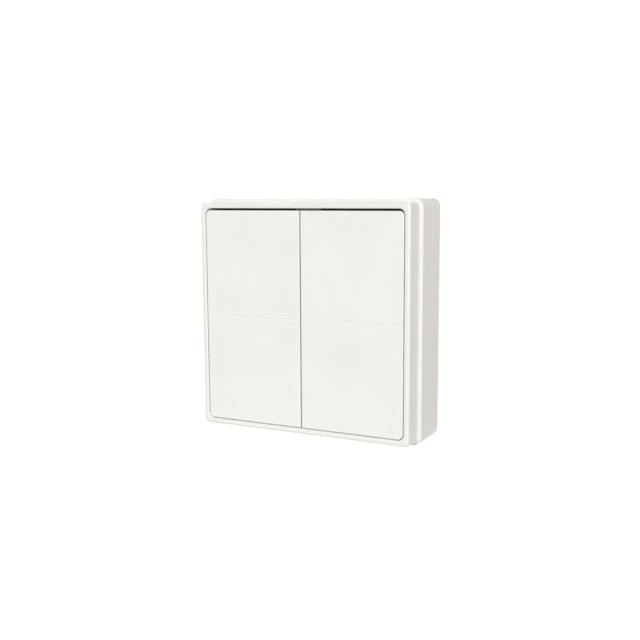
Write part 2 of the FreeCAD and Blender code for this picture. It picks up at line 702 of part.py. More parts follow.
def make_plunger(name, x, z):
    body = new_body("plunger_" + name)
    place = [(x, z)]
    pad(body, circles(body, "Stem", TIP_REST, "Sizes.stem_radius", place),
        "%s - %s" % (HEAD_BACK, TIP_REST))
    pad(body, circles(body, "Head", HEAD_BACK, "Sizes.head_radius", place), "Sizes.head_thick")
    dress_edges(body, "Fillet", "Sizes.head_dome", lambda box: at_depth(box, HEAD_FRONT))
    nodes.append(body)


def wound_wire(radius, wire, turns, length):
    # A round wire wound about +Z in short straight runs. Its centre line starts at zero and
    # climbs all but one wire of the length.
    climb = length - wire
    runs = int(round(turns * RUNS_PER_TURN))
    points = []
    for index in range(runs + 1):
        angle = 2 * math.pi * index / RUNS_PER_TURN
        points.append(FreeCAD.Vector(radius * math.cos(angle), radius * math.sin(angle),
                                     climb * index / runs))
    section = Part.Wire(Part.makeCircle(wire / 2, points[0], points[1] - points[0]))
    return Part.makePolygon(points).makePipeShell([section], True, False, MITRED)


def make_spring(name, x, z):
    length = number("%s - %s" % (HEAD_BACK, CHASSIS_FRONT))
    coil = wound_wire(number("Sizes.spring_radius"), number("Sizes.spring_wire"),
                      number("Sizes.spring_turns"), length)
    spring = doc.addObject("Part::Feature", "spring_" + name)
    spring.Shape = coil
    spring.Label = "spring_" + name
    seat = number("%s + Sizes.spring_wire / 2" % CHASSIS_FRONT)
    place = FreeCAD.Vector(number(x), -seat, number(z))
    spring.Placement = FreeCAD.Placement(place, FreeCAD.Rotation(FreeCAD.Vector(1, 0, 0), 90))
    nodes.append(spring)


# Tactile switches: a square base on the board and a round button that travels a little

def make_tact(name, x, z):
    place = [(x, z)]
    base = new_body("tact_base_" + name)
    pad(base, rectangles(base, "Base", BOARD_FRONT, "Sizes.tact_width", "Sizes.tact_width",
                         place), "Sizes.tact_depth")
    pocket(base, circles(base, "Bore", "%s + Sizes.tact_depth" % BOARD_FRONT,
                         "Sizes.tact_button_radius + Sizes.tact_button_play", place),
           "Sizes.tact_button_root + Sizes.tact_travel + Sizes.tact_bore_spare")
    nodes.append(base)
    button = new_body("tact_button_" + name)
    pad(button, circles(button, "Button",
                        "%s + Sizes.tact_depth - Sizes.tact_button_root" % BOARD_FRONT,
                        "Sizes.tact_button_radius", place),
        "Sizes.tact_button_root + Sizes.tact_button_reach")
    nodes.append(button)


# Circuit board and the parts soldered to it

def make_circuit_board():
    body = new_body("circuit_board")
    pad(body, rounded_square(body, "Board", BOARD_BACK, BOARD_WIDTH,
                             "Sizes.board_corner"), "Sizes.board_thick")
    pocket(body, circles(body, "ScrewHoles", BOARD_FRONT,
                         "Sizes.board_screw_radius + Sizes.screw_play",
                         quartet(POST_PLACE, POST_PLACE)),
           "Sizes.board_thick")
    nodes.append(body)


def make_board_part(label, depth, width, height, thick, x, z):
    body = new_body(label)
    pad(body, rectangles(body, "Block", depth, width, height, [(x, z)]), thick)
    nodes.append(body)
    return body


def make_electronics():
    make_board_part("radio_board", BOARD_FRONT, "Sizes.radio_width", "Sizes.radio_height",
                    "Sizes.radio_thick", "0", "Sizes.radio_place")
    radio_front = "(%s + Sizes.radio_thick)" % BOARD_FRONT
    can_place = "Sizes.radio_place - Sizes.can_drop"
    can = make_board_part("shield_can", radio_front, "Sizes.can_width", "Sizes.can_width",
                          "Sizes.can_depth", "0", can_place)
    inside = "Sizes.can_width - 2 * Sizes.can_wall"
    pocket(can, rectangles(can, "Inside", "%s + Sizes.can_depth - Sizes.can_wall" % radio_front,
                           inside, inside, [("0", can_place)]),
           "Sizes.can_depth - Sizes.can_wall")
    make_board_part("controller_chip", BOARD_FRONT, "Sizes.chip_width", "Sizes.chip_width",
                    "Sizes.chip_thick", "0", "-Sizes.chip_drop")
    make_board_part("crystal", BOARD_FRONT, "Sizes.crystal_width", "Sizes.crystal_height",
                    "Sizes.crystal_thick", "Sizes.crystal_offset", "-Sizes.chip_drop")
    make_board_part("status_led", BOARD_FRONT, "Sizes.led_width", "Sizes.led_height",
                    "Sizes.led_thick", "0", "-Sizes.led_drop")
    capacitor = new_body("capacitor")
    pad(capacitor, rectangles(capacitor, "Block", BOARD_FRONT, "Sizes.capacitor_width",
                              "Sizes.capacitor_height",
                              [("Sizes.capacitor_offset", "-Sizes.capacitor_drop")]),
        "Sizes.capacitor_thick")
    nodes.append(mirrored_group("capacitors", capacitor, "x"))
    coil = wound_wire(number("Sizes.antenna_radius"), number("Sizes.antenna_wire"),
                      number("Sizes.antenna_turns"), number("Sizes.antenna_length"))
    antenna = doc.addObject("Part::Feature", "antenna_coil")
    antenna.Shape = coil
    antenna.Label = "antenna_coil"
    rise = number("%s + Sizes.antenna_radius + Sizes.antenna_wire / 2" % BOARD_FRONT)
    start = number("Sizes.antenna_wire / 2 - Sizes.antenna_length / 2")
    height = number("%s / 2 - Sizes.antenna_inset" % BOARD_WIDTH)
    place = FreeCAD.Vector(start, -rise, height)
    antenna.Placement = FreeCAD.Placement(place, FreeCAD.Rotation(FreeCAD.Vector(0, 1, 0), 90))
    nodes.append(antenna)


# Battery: a coin cell in a round holder behind the board, between two contacts

def make_battery():
    place = [("0", "-Sizes.cell_drop")]
    cell_back = HOLDER_BACK
    holder_back = "(%s - Sizes.holder_rim)" % cell_back
    holder = new_body("battery_holder")
    pad(holder, circles(holder, "Outside", holder_back, HOLDER_RADIUS, place),
        "%s - %s" % (BOARD_BACK, holder_back))
    pocket(holder, circles(holder, "Inside", "%s - Sizes.holder_floor" % BOARD_BACK,
                           "Sizes.cell_radius + Sizes.cell_play", place),
           "%s - Sizes.holder_floor - %s" % (BOARD_BACK, holder_back))
    nodes.append(holder)
    cell = new_body("coin_cell")
    pad(cell, circles(cell, "Cell", cell_back, "Sizes.cell_radius", place), "Sizes.cell_thick")
    dress_edges(cell, "Fillet", "Sizes.contact_thick", lambda box: at_depth(box, cell_back))
    nodes.append(cell)
    plate = new_body("battery_contact_plate")
    pad(plate, circles(plate, "Disc", "%s + Sizes.cell_thick" % cell_back,
                       "Sizes.contact_radius", place), "Sizes.contact_thick")
    nodes.append(plate)
    clip = new_body("battery_clip")
    pad(clip, rectangles(clip, "Strap", "%s - Sizes.contact_thick" % holder_back,
                         "2 * " + HOLDER_RADIUS, "Sizes.clip_width", place),
        "Sizes.contact_thick")
    pad(clip, circles(clip, "Dimple", holder_back, "Sizes.clip_dimple", place),
        "Sizes.holder_rim")
    nodes.append(clip)


# Screws: one is modelled and its fellows are mirrored about the middle planes

def make_screw_group(label, x, z, seat, toward_front, head_radius, head_thick, radius, length):
    # Seat is the depth of the face under the head
    body = new_body(label.rstrip("s"))
    place = [(x, z)]
    if toward_front:
        pad(body, circles(body, "Head", "%s - %s" % (seat, head_thick), head_radius, place),
            head_thick)
        pad(body, circles(body, "Shank", seat, radius, place), length)
        drive_start = "(%s - %s + Sizes.drive_depth)" % (seat, head_thick)
    else:
        pad(body, circles(body, "Head", seat, head_radius, place), head_thick)
        pad(body, circles(body, "Shank", "%s - %s" % (seat, length), radius, place), length)
        drive_start = "(%s + %s)" % (seat, head_thick)
    for width, height in (("Sizes.drive_length", "Sizes.drive_width"),
                          ("Sizes.drive_width", "Sizes.drive_length")):
        pocket(body, rectangles(body, "Drive", drive_start, width, height, place),
               "Sizes.drive_depth")
    nodes.append(mirrored_group(label, body, "xz"))


def make_screws():
    make_screw_group("case_screws", CASE_SCREW_X, "Sizes.case_screw_rise",
                     "Sizes.case_head_recess", True, "Sizes.case_head_radius",
                     "Sizes.case_head_thick", "Sizes.case_screw_radius",
                     "Sizes.case_screw_length")
    make_screw_group("chassis_screws", CHASSIS_SCREW_PLACE,
                     CHASSIS_SCREW_PLACE,
                     "(%s - Sizes.chassis_head_thick - Sizes.head_play)" % CHASSIS_FRONT, False,
                     "Sizes.chassis_head_radius", "Sizes.chassis_head_thick",
                     "Sizes.chassis_screw_radius", "Sizes.chassis_screw_length")
    make_screw_group("board_screws", POST_PLACE, POST_PLACE, BOARD_BACK, True,
                     "Sizes.board_head_radius", "Sizes.board_head_thick",
                     "Sizes.board_screw_radius", "Sizes.board_screw_length")


make_rear_tray()
make_tape_pads()
make_surface_box()
make_front_frame()
make_chassis()
make_circuit_board()
make_electronics()
make_battery()
make_screws()
for side_name, side_sign in SIDES:
    make_rocker(side_name, side_sign)
    make_axle(side_name, side_sign)
    for end_name, end_sign in ENDS:
        spot = "%s_%s" % (end_name, side_name)
        spot_x = side_sign + ROCKER_CENTRE
        spot_z = end_sign + PLUNGER_PLACE
        make_plunger(spot, spot_x, spot_z)
        make_spring(spot, spot_x, spot_z)
        make_tact(spot, spot_x, spot_z)
doc.recompute()

for item in doc.Objects:
    if "Invalid" in item.State or "Error" in item.State:
        raise ValueError("%s failed: %s" % (item.Label, item.State))
os.makedirs("parts", exist_ok=True)
for node in nodes:
    if node.Shape.isNull() or not node.Shape.isValid() or not node.Shape.Solids:
        raise ValueError("%s has no valid solid" % node.Label)
for node in nodes:
    node.Shape.exportStep("parts/%s.step" % node.Label)
    print("%-26s %d solid, %.1f mm3" % (node.Label, len(node.Shape.Solids), node.Shape.Volume))
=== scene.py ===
import json
import math
import bpy
from mathutils import Matrix, Vector


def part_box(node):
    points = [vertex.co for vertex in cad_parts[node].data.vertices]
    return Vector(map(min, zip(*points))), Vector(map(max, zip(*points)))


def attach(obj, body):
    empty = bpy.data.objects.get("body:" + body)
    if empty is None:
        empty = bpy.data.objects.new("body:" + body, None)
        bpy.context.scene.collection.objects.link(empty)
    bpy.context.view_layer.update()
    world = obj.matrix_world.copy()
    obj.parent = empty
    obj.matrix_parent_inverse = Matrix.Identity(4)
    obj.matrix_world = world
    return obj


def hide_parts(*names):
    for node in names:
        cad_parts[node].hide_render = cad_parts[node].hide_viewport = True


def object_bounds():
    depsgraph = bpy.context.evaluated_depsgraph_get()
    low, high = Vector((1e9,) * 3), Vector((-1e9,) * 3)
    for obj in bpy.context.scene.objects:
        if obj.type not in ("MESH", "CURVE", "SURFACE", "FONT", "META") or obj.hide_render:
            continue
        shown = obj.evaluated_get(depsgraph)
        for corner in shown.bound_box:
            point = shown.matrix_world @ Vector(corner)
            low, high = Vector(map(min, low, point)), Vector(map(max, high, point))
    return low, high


# Looks of a two-gang wireless wall switch standing upright on a white studio floor.
# Metres, +Z up, the rockers look along -Y. Small added parts take their places from the
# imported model, and have named sizes of their own.

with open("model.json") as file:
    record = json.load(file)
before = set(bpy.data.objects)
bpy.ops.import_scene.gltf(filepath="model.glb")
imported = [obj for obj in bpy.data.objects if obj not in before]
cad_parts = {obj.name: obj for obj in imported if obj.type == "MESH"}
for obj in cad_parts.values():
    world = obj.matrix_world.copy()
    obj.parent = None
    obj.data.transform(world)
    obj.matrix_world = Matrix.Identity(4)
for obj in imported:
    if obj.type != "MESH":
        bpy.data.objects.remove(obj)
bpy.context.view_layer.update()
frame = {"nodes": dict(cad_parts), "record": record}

MM = 0.001


# Finishes: patterns lie on Object coordinates, and their scales are repeats per metre

# The stretch of a pattern's value over which its two tones blend
TONE_BLEND = (0.3, 0.7)
FINE_DETAIL = 3.0

TONE_PATCHES = 45.0
QUIET_DRIFT = 0.012
GLOSS_PATCHES = 260.0
GLOSS_DRIFT = 0.05
GRAIN_HEIGHT = 0.006 * MM
GRAIN_STRENGTH = 0.5

DRAWN_LINES = 900.0
DRAWN_DARK = 0.86
DRAWN_LIGHT = 1.05
DRAWN_SMOOTHER = 0.08
DRAWN_ROUGHER = 0.1
DRAWN_HEIGHT = 0.004 * MM
DRAWN_STRENGTH = 0.4

FOAM_ROUGHNESS = 0.9
PIT_CELLS = 2600.0
PIT_SHADE_TONE = 0.93
PIT_DEPTH = 0.05 * MM
PIT_STRENGTH = 0.7

MASK_ROUGHNESS = 0.32
TRACK_CELLS = 420.0
TRACK_UNEVENNESS = 0.85
# A track lies between these two distances from the middle of its cell
TRACK_INSIDE = 0.42
TRACK_OUTSIDE = 0.5
TRACK_HEIGHT = 0.035 * MM
TRACK_STRENGTH = 0.8


def new_material(name, colour, roughness, metallic=0.0):
    material = bpy.data.materials.new(name)
    material.use_nodes = True
    material.diffuse_color = (*colour, 1.0)
    shader = material.node_tree.nodes["Principled BSDF"]
    shader.inputs["Base Color"].default_value = (*colour, 1.0)
    shader.inputs["Roughness"].default_value = roughness
    shader.inputs["Metallic"].default_value = metallic
    return material, shader


def noise(material, scale, detail=2.0, squeeze=(1.0, 1.0, 1.0)):
    nodes = material.node_tree.nodes
    links = material.node_tree.links
    place = nodes.new("ShaderNodeTexCoord")
    mapping = nodes.new("ShaderNodeMapping")
    mapping.inputs["Scale"].default_value = squeeze
    texture = nodes.new("ShaderNodeTexNoise")
    texture.inputs["Scale"].default_value = scale
    texture.inputs["Detail"].default_value = detail
    links.new(place.outputs["Object"], mapping.inputs["Vector"])
    links.new(mapping.outputs["Vector"], texture.inputs["Vector"])
    return texture.outputs["Fac"]


def cells(material, scale):
    place = material.node_tree.nodes.new("ShaderNodeTexCoord")
    texture = material.node_tree.nodes.new("ShaderNodeTexVoronoi")
    texture.inputs["Scale"].default_value = scale
    material.node_tree.links.new(place.outputs["Object"], texture.inputs["Vector"])
    return texture


def vary_colour(material, shader, pattern, low, high):
    ramp = material.node_tree.nodes.new("ShaderNodeValToRGB")
    for stop, position, colour in zip(ramp.color_ramp.elements, TONE_BLEND, (low, high)):
        stop.position = position
        stop.color = (*colour, 1.0)
    material.node_tree.links.new(pattern, ramp.inputs["Fac"])
    material.node_tree.links.new(ramp.outputs["Color"], shader.inputs["Base Color"])


def vary_roughness(material, shader, pattern, low, high):
    spread = material.node_tree.nodes.new("ShaderNodeMapRange")
    spread.inputs["To Min"].default_value = low
    spread.inputs["To Max"].default_value = high
    material.node_tree.links.new(pattern, spread.inputs["Value"])
    material.node_tree.links.new(spread.outputs["Result"], shader.inputs["Roughness"])


def add_bump(material, shader, pattern, height, strength):
    bump = material.node_tree.nodes.new("ShaderNodeBump")
    bump.inputs["Distance"].default_value = height
    bump.inputs["Strength"].default_value = strength
    material.node_tree.links.new(pattern, bump.inputs["Height"])
    material.node_tree.links.new(bump.outputs["Normal"], shader.inputs["Normal"])


def shade(colour, factor):
    return tuple(min(1.0, part * factor) for part in colour)


def moulded_plastic(name, colour, roughness, grain_mm, drift=QUIET_DRIFT):
    # Satin moulding: a spark-eroded grain, and a slow drift of tone and gloss across the part
    material, shader = new_material(name, colour, roughness)
    vary_colour(material, shader, noise(material, TONE_PATCHES),
                shade(colour, 1.0 - drift), shade(colour, 1.0 + drift))
    vary_roughness(material, shader, noise(material, GLOSS_PATCHES, FINE_DETAIL),
                   roughness - GLOSS_DRIFT, roughness + GLOSS_DRIFT)
    grain = noise(material, 1.0 / (grain_mm * MM), FINE_DETAIL)
    add_bump(material, shader, grain, GRAIN_HEIGHT, GRAIN_STRENGTH)
    return material


def bright_metal(name, colour, roughness, squeeze):
    # Drawn or turned metal: fine lines, which lie across the axis that is squeezed
    material, shader = new_material(name, colour, roughness, 1.0)
    lines = noise(material, DRAWN_LINES, FINE_DETAIL, squeeze)
    vary_colour(material, shader, lines, shade(colour, DRAWN_DARK), shade(colour, DRAWN_LIGHT))
    vary_roughness(material, shader, lines, roughness - DRAWN_SMOOTHER,
                   roughness + DRAWN_ROUGHER)
    add_bump(material, shader, lines, DRAWN_HEIGHT, DRAWN_STRENGTH)
    return material


def foam(name, colour):
    # Closed-cell tape: small pits all over, each pit's floor darkened by painted shade
    material, shader = new_material(name, colour, FOAM_ROUGHNESS)
    pits = cells(material, PIT_CELLS).outputs["Distance"]
    # Painted shade: the colour goes darker towards the bottom of each pit
    vary_colour(material, shader, pits, shade(colour, PIT_SHADE_TONE), colour)
    add_bump(material, shader, pits, PIT_DEPTH, PIT_STRENGTH)
    return material


def printed_board(name, mask, copper):
    # Solder mask over copper: raised tracks that run square round uneven cells
    material, shader = new_material(name, mask, MASK_ROUGHNESS)
    nodes = material.node_tree.nodes
    links = material.node_tree.links
    around = cells(material, TRACK_CELLS)
    around.distance = "CHEBYCHEV"
    around.inputs["Randomness"].default_value = TRACK_UNEVENNESS
    tracks = nodes.new("ShaderNodeValToRGB")
    tracks.color_ramp.interpolation = "CONSTANT"
    tracks.color_ramp.elements[0].color = (0.0, 0.0, 0.0, 1.0)
    tracks.color_ramp.elements[1].position = TRACK_INSIDE
    tracks.color_ramp.elements[1].color = (1.0, 1.0, 1.0, 1.0)
    beyond = tracks.color_ramp.elements.new(TRACK_OUTSIDE)
    beyond.color = (0.0, 0.0, 0.0, 1.0)
    tint = nodes.new("ShaderNodeMix")
    tint.data_type = "RGBA"
    tint.inputs["A"].default_value = (*mask, 1.0)
    tint.inputs["B"].default_value = (*copper, 1.0)
    links.new(around.outputs["Distance"], tracks.inputs["Fac"])
    links.new(tracks.outputs["Color"], tint.inputs["Factor"])
    links.new(tint.outputs["Result"], shader.inputs["Base Color"])
    add_bump(material, shader, tracks.outputs["Color"], TRACK_HEIGHT, TRACK_STRENGTH)
    return material


WHITE = (0.871, 0.862, 0.812)
PLASTICS = {
    "rocker_white": dict(colour=WHITE, roughness=0.42, grain_mm=0.16),
    # The frame's and the box's whites are a touch darker than the rockers': painted shade for
    # the darker shading on those parts
    "frame_white": dict(colour=shade(WHITE, 0.99), roughness=0.38, grain_mm=0.16),
    "housing_white": dict(colour=shade(WHITE, 0.985), roughness=0.4, grain_mm=0.2),
    "chassis_dark": dict(colour=(0.16, 0.07, 0.035), roughness=0.5, grain_mm=0.25, drift=0.2),
    "plunger_acetal": dict(colour=(0.78, 0.78, 0.75), roughness=0.32, grain_mm=0.3),
    "button_black": dict(colour=(0.03, 0.03, 0.03), roughness=0.35, grain_mm=0.2, drift=0.15),
    "chip_black": dict(colour=(0.02, 0.02, 0.021), roughness=0.55, grain_mm=0.12, drift=0.2),
    "capacitor_ceramic": dict(colour=(0.48, 0.34, 0.2), roughness=0.5, grain_mm=0.1, drift=0.1),
    "led_lens": dict(colour=(0.85, 0.85, 0.72), roughness=0.15, grain_mm=0.3),
}
METALS = {
    "axle_steel": dict(colour=(0.62, 0.62, 0.63), roughness=0.2, squeeze=(1.0, 7.0, 7.0)),
    "spring_metal": dict(colour=(0.66, 0.66, 0.65), roughness=0.25, squeeze=(1.0, 6.0, 1.0)),
    "screw_zinc": dict(colour=(0.68, 0.69, 0.71), roughness=0.32, squeeze=(1.0, 1.0, 1.0)),
    "cell_steel": dict(colour=(0.74, 0.73, 0.71), roughness=0.24, squeeze=(1.0, 1.0, 6.0)),
    "tinned_steel": dict(colour=(0.72, 0.72, 0.7), roughness=0.3, squeeze=(1.0, 1.0, 8.0)),
    "copper_wire": dict(colour=(0.86, 0.44, 0.22), roughness=0.25, squeeze=(6.0, 1.0, 1.0)),
}
MATERIALS = {name: moulded_plastic(name, **look) for name, look in PLASTICS.items()}
MATERIALS.update({name: bright_metal(name, **look) for name, look in METALS.items()})
MATERIALS["foam_tape"] = foam("foam_tape", (0.7, 0.7, 0.68))
MATERIALS["board_green"] = printed_board("board_green", mask=(0.012, 0.1, 0.035),
                                         copper=(0.03, 0.2, 0.07))


def finish_nodes():
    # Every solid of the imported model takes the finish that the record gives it
    for row in frame["record"]["subparts"]:
        node = frame["nodes"][row["node"]]
        node.data.materials.clear()
        node.data.materials.append(MATERIALS[row["material_slot"]])


finish_nodes()


# Small metal parts on the circuit board, made by node trees from named sizes

QUARTER_TURN = math.pi / 2
UNTURNED = (0.0, 0.0, 0.0)
BEAD_SEGMENTS = 12
BEAD_RINGS = 8
# A leg drops between these two shares of its reach, and its foot's sizes are shares of its own
LEG_BEND_START = 0.12
LEG_BEND_END = 0.6
LEG_STEPS = 14
FOOT_MIDDLE = 0.86
FOOT_HALF_LENGTH = 0.24
FOOT_HALF_WIDTH = 0.72
FOOT_HEIGHT = 1.5
WIRE_STEPS_A_TURN = 40
WIRE_SIDES = 12


def new_tree(name, sizes):
    # A tree that is given the points, then the sizes, and last the finish
    tree = bpy.data.node_groups.new(name, "GeometryNodeTree")
    tree.interface.new_socket("Geometry", in_out="OUTPUT", socket_type="NodeSocketGeometry")
    tree.interface.new_socket("Geometry", in_out="INPUT", socket_type="NodeSocketGeometry")
    for size in sizes:
        tree.interface.new_socket(size, in_out="INPUT", socket_type="NodeSocketFloat")
    tree.interface.new_socket("Finish", in_out="INPUT", socket_type="NodeSocketMaterial")
    return tree, tree.nodes.new("NodeGroupInput")


def end_tree(tree, given, geometry):
    realized = tree.nodes.new("GeometryNodeRealizeInstances")
    coat = tree.nodes.new("GeometryNodeSetMaterial")
    out = tree.nodes.new("NodeGroupOutput")
    tree.links.new(geometry, realized.inputs["Geometry"])
    tree.links.new(realized.outputs["Geometry"], coat.inputs["Geometry"])
    tree.links.new(given.outputs["Finish"], coat.inputs["Material"])
    tree.links.new(coat.outputs["Geometry"], out.inputs["Geometry"])


def times(tree, size, factor):
    node = tree.nodes.new("ShaderNodeMath")
    node.operation = "MULTIPLY"
    tree.links.new(size, node.inputs[0])
    node.inputs[1].default_value = factor
    return node.outputs["Value"]


def vector(tree, **sizes):
    node = tree.nodes.new("ShaderNodeCombineXYZ")
    for axis, size in sizes.items():
        tree.links.new(size, node.inputs[axis.upper()])
    return node.outputs["Vector"]


def on_turned_points(tree, given, item):
    # One copy of the item at each point, turned by the point's own "turn"
    turn = tree.nodes.new("GeometryNodeInputNamedAttribute")
    turn.data_type = "FLOAT_VECTOR"
    turn.inputs["Name"].default_value = "turn"
    copies = tree.nodes.new("GeometryNodeInstanceOnPoints")
    tree.links.new(given.outputs["Geometry"], copies.inputs["Points"])
    tree.links.new(item, copies.inputs["Instance"])
    tree.links.new(turn.outputs["Attribute"], copies.inputs["Rotation"])
    return copies.outputs["Instances"]


def solder_bead(tree, half_length, half_width, height):
    # A round bead, of which the upper half stands out of the face that it sits on
    ball = tree.nodes.new("GeometryNodeMeshUVSphere")
    ball.inputs["Segments"].default_value = BEAD_SEGMENTS
    ball.inputs["Rings"].default_value = BEAD_RINGS
    ball.inputs["Radius"].default_value = 1.0
    squash = tree.nodes.new("GeometryNodeTransform")
    scale = vector(tree, x=half_length, y=half_width, z=height)
    tree.links.new(ball.outputs["Mesh"], squash.inputs["Geometry"])
    tree.links.new(scale, squash.inputs["Scale"])
    return squash


def soldered_foot(tree, given):
    # The bead under a leg's end, sized by the leg
    half_length = times(tree, given.outputs["Reach"], FOOT_HALF_LENGTH)
    half_width = times(tree, given.outputs["Width"], FOOT_HALF_WIDTH)
    height = times(tree, given.outputs["Thickness"], FOOT_HEIGHT)
    middle = times(tree, given.outputs["Reach"], FOOT_MIDDLE)
    bead = solder_bead(tree, half_length, half_width, height)
    tree.links.new(vector(tree, x=middle), bead.inputs["Translation"])
    return bead.outputs["Geometry"]


def gull_wing_tree():
    # A flat strip that leaves the case level, drops to the board and ends in a soldered foot
    tree, given = new_tree("gull_wing_legs", ("Reach", "Rise", "Width", "Thickness"))
    line = tree.nodes.new("GeometryNodeCurvePrimitiveLine")
    tree.links.new(vector(tree, x=given.outputs["Reach"]), line.inputs["End"])
    fine = tree.nodes.new("GeometryNodeResampleCurve")
    fine.inputs["Count"].default_value = LEG_STEPS
    tree.links.new(line.outputs["Curve"], fine.inputs["Curve"])
    along = tree.nodes.new("GeometryNodeSplineParameter")
    drop = tree.nodes.new("ShaderNodeMapRange")
    drop.interpolation_type = "SMOOTHERSTEP"
    drop.inputs["From Min"].default_value = LEG_BEND_START
    drop.inputs["From Max"].default_value = LEG_BEND_END
    tree.links.new(along.outputs["Factor"], drop.inputs["Value"])
    tree.links.new(given.outputs["Rise"], drop.inputs["To Min"])
    tree.links.new(times(tree, given.outputs["Thickness"], 0.5), drop.inputs["To Max"])
    bent = tree.nodes.new("GeometryNodeSetPosition")
    tree.links.new(fine.outputs["Curve"], bent.inputs["Geometry"])
    tree.links.new(vector(tree, z=drop.outputs["Result"]), bent.inputs["Offset"])
    level = tree.nodes.new("GeometryNodeSetCurveNormal")
    level.mode = "Z_UP"
    tree.links.new(bent.outputs["Geometry"], level.inputs["Curve"])
    section = tree.nodes.new("GeometryNodeCurvePrimitiveQuadrilateral")
    tree.links.new(given.outputs["Width"], section.inputs["Width"])
    tree.links.new(given.outputs["Thickness"], section.inputs["Height"])
    strip = tree.nodes.new("GeometryNodeCurveToMesh")
    strip.inputs["Fill Caps"].default_value = True
    tree.links.new(level.outputs["Curve"], strip.inputs["Curve"])
    tree.links.new(section.outputs["Curve"], strip.inputs["Profile Curve"])
    leg = tree.nodes.new("GeometryNodeJoinGeometry")
    tree.links.new(strip.outputs["Mesh"], leg.inputs["Geometry"])
    tree.links.new(soldered_foot(tree, given), leg.inputs["Geometry"])
    end_tree(tree, given, on_turned_points(tree, given, leg.outputs["Geometry"]))
    return tree


def solder_bead_tree():
    tree, given = new_tree("solder_beads", ("Half Length", "Half Width", "Height"))
    bead = solder_bead(tree, given.outputs["Half Length"], given.outputs["Half Width"],
                       given.outputs["Height"])
    end_tree(tree, given, on_turned_points(tree, given, bead.outputs["Geometry"]))
    return tree


def wound_wire_tree():
    # A round wire wound about X, with its middle at the origin
    tree, given = new_tree("wound_wire", ("Length", "Radius", "Wire", "Turns"))
    spiral = tree.nodes.new("GeometryNodeCurveSpiral")
    spiral.inputs["Resolution"].default_value = WIRE_STEPS_A_TURN
    for name in ("Start Radius", "End Radius"):
        tree.links.new(given.outputs["Radius"], spiral.inputs[name])
    tree.links.new(given.outputs["Length"], spiral.inputs["Height"])
    tree.links.new(given.outputs["Turns"], spiral.inputs["Rotations"])
    ring = tree.nodes.new("GeometryNodeCurvePrimitiveCircle")
    ring.inputs["Resolution"].default_value = WIRE_SIDES
    tree.links.new(times(tree, given.outputs["Wire"], 0.5), ring.inputs["Radius"])
    wire = tree.nodes.new("GeometryNodeCurveToMesh")
    wire.inputs["Fill Caps"].default_value = True
    tree.links.new(spiral.outputs["Curve"], wire.inputs["Curve"])
    tree.links.new(ring.outputs["Curve"], wire.inputs["Profile Curve"])
    centred = tree.nodes.new("GeometryNodeTransform")
    centred.inputs["Rotation"].default_value = (0.0, QUARTER_TURN, 0.0)
    tree.links.new(wire.outputs["Mesh"], centred.inputs["Geometry"])
    start = times(tree, given.outputs["Length"], -0.5)
    tree.links.new(vector(tree, x=start), centred.inputs["Translation"])
    end_tree(tree, given, on_turned_points(tree, given, centred.outputs["Geometry"]))
    return tree


def grow(name, tree, points, sizes, slot):
    # Runs a tree on points, each a place and a turn, and keeps the result as a plain mesh
    seeds = bpy.data.meshes.new(name)
    seeds.from_pydata([place for place, _ in points], [], [])
    turns = seeds.attributes.new("turn", "FLOAT_VECTOR", "POINT")
    for index, (_, turn) in enumerate(points):
        turns.data[index].vector = turn
    piece = bpy.data.objects.new(name, seeds)
    bpy.context.scene.collection.objects.link(piece)
    modifier = piece.modifiers.new(name, "NODES")
    modifier.node_group = tree
    for socket in tree.interface.items_tree:
        if socket.in_out == "INPUT" and socket.name in sizes:
            modifier[socket.identifier] = sizes[socket.name]
        if socket.in_out == "INPUT" and socket.name == "Finish":
            modifier[socket.identifier] = MATERIALS[slot]
    ready = piece.evaluated_get(bpy.context.evaluated_depsgraph_get())
    mesh = bpy.data.meshes.new_from_object(ready)
    piece.modifiers.remove(modifier)
    piece.data = mesh
    mesh.name = name
    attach(piece, "housing")
    return piece


def facing(bearing):
    # The turn that lays an item on the board's front with its length along a bearing
    return (QUARTER_TURN, -bearing, 0.0)


def side_points(node, bearings, count=1, pitch=0.0):
    # Points along the sides of a block on the board, at the board's face
    low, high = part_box(node)
    middle = (low + high) / 2
    half = (high - low) / 2
    points = []
    for bearing in bearings:
        outward = Vector((math.cos(bearing), 0.0, math.sin(bearing)))
        sideways = Vector((-outward.z, 0.0, outward.x))
        reach = abs(outward.x) * half.x + abs(outward.z) * half.z
        for index in range(count):
            shift = (index - (count - 1) / 2) * pitch
            place = middle + outward * reach + sideways * shift
            points.append(((place.x, high.y, place.z), facing(bearing)))
    return points


LEFT_AND_RIGHT = (0.0, math.pi)
ALL_ROUND = (0.0, QUARTER_TURN, math.pi, -QUARTER_TURN)
TACT_LEGS_A_SIDE = 2
TACT_LEG_PITCH = 4.5 * MM
CHIP_LEGS_A_SIDE = 8
CHIP_LEG_PITCH = 0.8 * MM
RADIO_PADS_A_SIDE = 14
RADIO_PAD_PITCH = 1.27 * MM
ANTENNA_WIRE = 0.5 * MM
ANTENNA_TURNS = 8.0


def make_tact_legs(tree):
    # Legs down both sides of every tactile switch
    points = []
    for node in sorted(frame["nodes"]):
        if node.startswith("tact_base"):
            points += side_points(node, LEFT_AND_RIGHT, TACT_LEGS_A_SIDE, TACT_LEG_PITCH)
    sizes = {"Reach": 1.5 * MM, "Rise": 1.1 * MM, "Width": 0.7 * MM, "Thickness": 0.2 * MM}
    grow("tact_legs", tree, points, sizes, "tinned_steel")


def make_chip_legs(tree):
    # Fine legs on all four sides of the controller
    points = side_points("controller_chip", ALL_ROUND, CHIP_LEGS_A_SIDE, CHIP_LEG_PITCH)
    sizes = {"Reach": 0.95 * MM, "Rise": 0.4 * MM, "Width": 0.35 * MM, "Thickness": 0.12 * MM}
    grow("controller_legs", tree, points, sizes, "tinned_steel")


